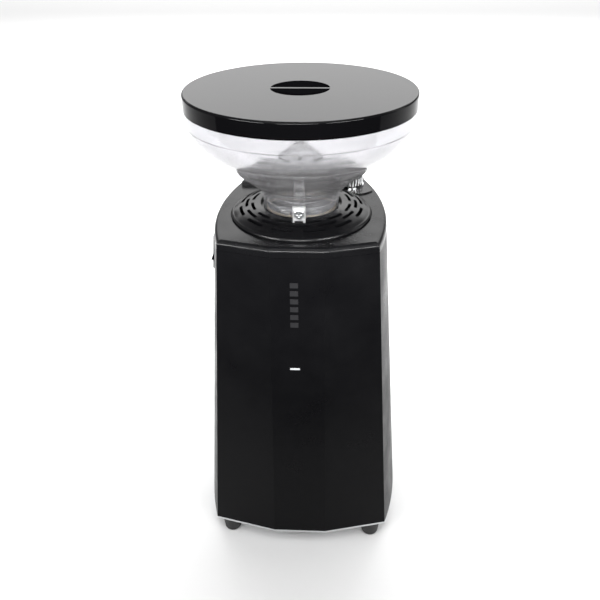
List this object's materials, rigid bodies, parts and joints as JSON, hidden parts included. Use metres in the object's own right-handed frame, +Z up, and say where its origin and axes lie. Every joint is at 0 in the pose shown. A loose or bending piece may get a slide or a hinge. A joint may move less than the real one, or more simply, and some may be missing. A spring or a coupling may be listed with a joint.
{
  "type": "electric burr coffee grinder",
  "caption": "Electric burr coffee grinder: tapered black body on rubber feet, round vented top, clear bowl hopper with black lid, ribbed fineness knob and a front bay with a grounds container.",
  "frame": {"origin": "middle of the footprint box on the worktop, under the feet", "axes": "+Z up; the grounds bay and controls face -Y; +X is the side with the power rocker"},
  "size_m": [0.185, 0.2101, 0.4125],
  "materials": {
    "housing_paint": "fine-textured black powder coat",
    "cover_paint": "satin black paint",
    "front_black": "fine-grained black plastic",
    "lid_black": "polished black plastic with a satin top",
    "black_plastic": "moulded black plastic",
    "clear_plastic": "clear moulded plastic",
    "smoked_plastic": "dark tinted window",
    "white_plastic": "white moulded plastic",
    "knob_chrome": "polished ribbed metal",
    "clamp_steel": "bright sheet steel",
    "screw_steel": "zinc-plated steel",
    "base_steel": "galvanised sheet steel",
    "foot_rubber": "matt black rubber",
    "seal_rubber": "cream silicone rubber",
    "cast_aluminium": "die-cast aluminium",
    "burr_steel": "ground hardened steel",
    "motor_steel": "laminated and turned steel",
    "winding_copper": "enamelled copper wire",
    "bearing_steel": "polished bearing steel",
    "board_green": "printed circuit board",
    "button_grey": "grey moulded plastic"
  },
  "bodies": {
    "root": {"base_plate": "base_steel", "feet": "foot_rubber", "foot_screws": "screw_steel", "base_screws": "screw_steel", "cord_gland": "black_plastic", "main_housing": "housing_paint", "front_panel": "front_black", "top_cover": "cover_paint", "front_cap": "black_plastic", "dial_pad": "black_plastic", "dial_ring": "knob_chrome", "knob_bushing": "white_plastic", "vent_ring": "black_plastic", "hopper_socket": "black_plastic", "grinding_chamber": "cast_aluminium", "exit_chute": "black_plastic", "spout": "foot_rubber", "chassis_posts": "motor_steel", "deck_plate": "cast_aluminium", "deck_screws": "screw_steel", "motor_can": "motor_steel", "lower_end_bell": "cast_aluminium", "upper_end_bell": "cast_aluminium", "stator_core": "motor_steel", "stator_windings": "winding_copper", "lower_bearing": "bearing_steel", "upper_bearing": "bearing_steel", "spindle_bearing": "bearing_steel", "run_capacitor": "white_plastic", "terminal_block": "white_plastic", "control_board": "board_green", "button_switches": "black_plastic", "display_module": "black_plastic", "display_window": "smoked_plastic", "switch_bezel": "black_plastic"},
    "hopper_unit": {"hopper": "clear_plastic", "bean_guard": "clear_plastic", "neck_seal": "seal_rubber", "clamp_plate": "clamp_steel", "clamp_screw": "screw_steel"},
    "lid_unit": {"lid": "lid_black", "lid_seal": "foot_rubber"},
    "collar_unit": {"adjustment_collar": "cast_aluminium"},
    "knob_unit": {"adjustment_knob": "knob_chrome", "knob_shaft": "motor_steel", "knob_pinion": "white_plastic"},
    "upper_burr_unit": {"upper_carrier": "cast_aluminium", "upper_burr": "burr_steel"},
    "spindle_unit": {"motor_shaft": "motor_steel", "rotor": "motor_steel", "cooling_fan": "white_plastic", "burr_carrier": "cast_aluminium", "lower_burr": "burr_steel", "burr_nut": "motor_steel"},
    "rocker_unit": {"power_rocker": "black_plastic"},
    "single_button_unit": {"single_dose_button": "button_grey"},
    "double_button_unit": {"double_dose_button": "button_grey"},
    "container_unit": {"grounds_container": "clear_plastic"},
    "container_lid_unit": {"container_lid": "black_plastic"}
  },
  "joints": [
    {"name": "hopper_lift", "type": "slide", "parent": "root", "child": "hopper_unit", "axis": [0, 0, 1], "range_m": [0, 0.12]},
    {"name": "lid_lift", "type": "slide", "parent": "hopper_unit", "child": "lid_unit", "axis": [0, 0, 1], "range_m": [0, 0.1]},
    {"name": "collar_turn", "type": "hinge", "parent": "root", "child": "collar_unit", "pos_m": [0, 0.0164, 0.279], "axis": [0, 0, 1], "range_deg": [-30, 30]},
    {"name": "knob_turn", "type": "hinge", "parent": "root", "child": "knob_unit", "pos_m": [-0.04, -0.04347, 0.32], "axis": [0, 0, 1], "range_deg": [-150, 150]},
    {"name": "upper_burr_rise", "type": "slide", "parent": "root", "child": "upper_burr_unit", "axis": [0, 0, 1], "range_m": [-0.00034, 0.00034]},
    {"name": "spindle_spin", "type": "hinge", "parent": "root", "child": "spindle_unit", "pos_m": [0, 0.0164, 0.15], "axis": [0, 0, 1], "continuous": true},
    {"name": "rocker_tilt", "type": "hinge", "parent": "root", "child": "rocker_unit", "pos_m": [0.07021, 0.0144, 0.27835], "axis": [0, 1, 0], "range_deg": [0, 10]},
    {"name": "single_button_press", "type": "slide", "parent": "root", "child": "single_button_unit", "axis": [0, 1, 0], "range_m": [0, 0.0014], "stiffness_N_per_m": 600, "springref_m": -0.001},
    {"name": "double_button_press", "type": "slide", "parent": "root", "child": "double_button_unit", "axis": [0, 1, 0], "range_m": [0, 0.0014], "stiffness_N_per_m": 600, "springref_m": -0.001},
    {"name": "container_slide", "type": "slide", "parent": "root", "child": "container_unit", "axis": [0, -1, 0], "range_m": [0, 0.13]},
    {"name": "container_lid_lift", "type": "slide", "parent": "container_unit", "child": "container_lid_unit", "axis": [0, 0, 1], "range_m": [0, 0.025]}
  ],
  "couplings": [
    {"joint": "knob_turn", "follows": "collar_turn", "ratio": -5},
    {"joint": "upper_burr_rise", "follows": "collar_turn", "m_per_rad": 0.00063662}
  ]
}
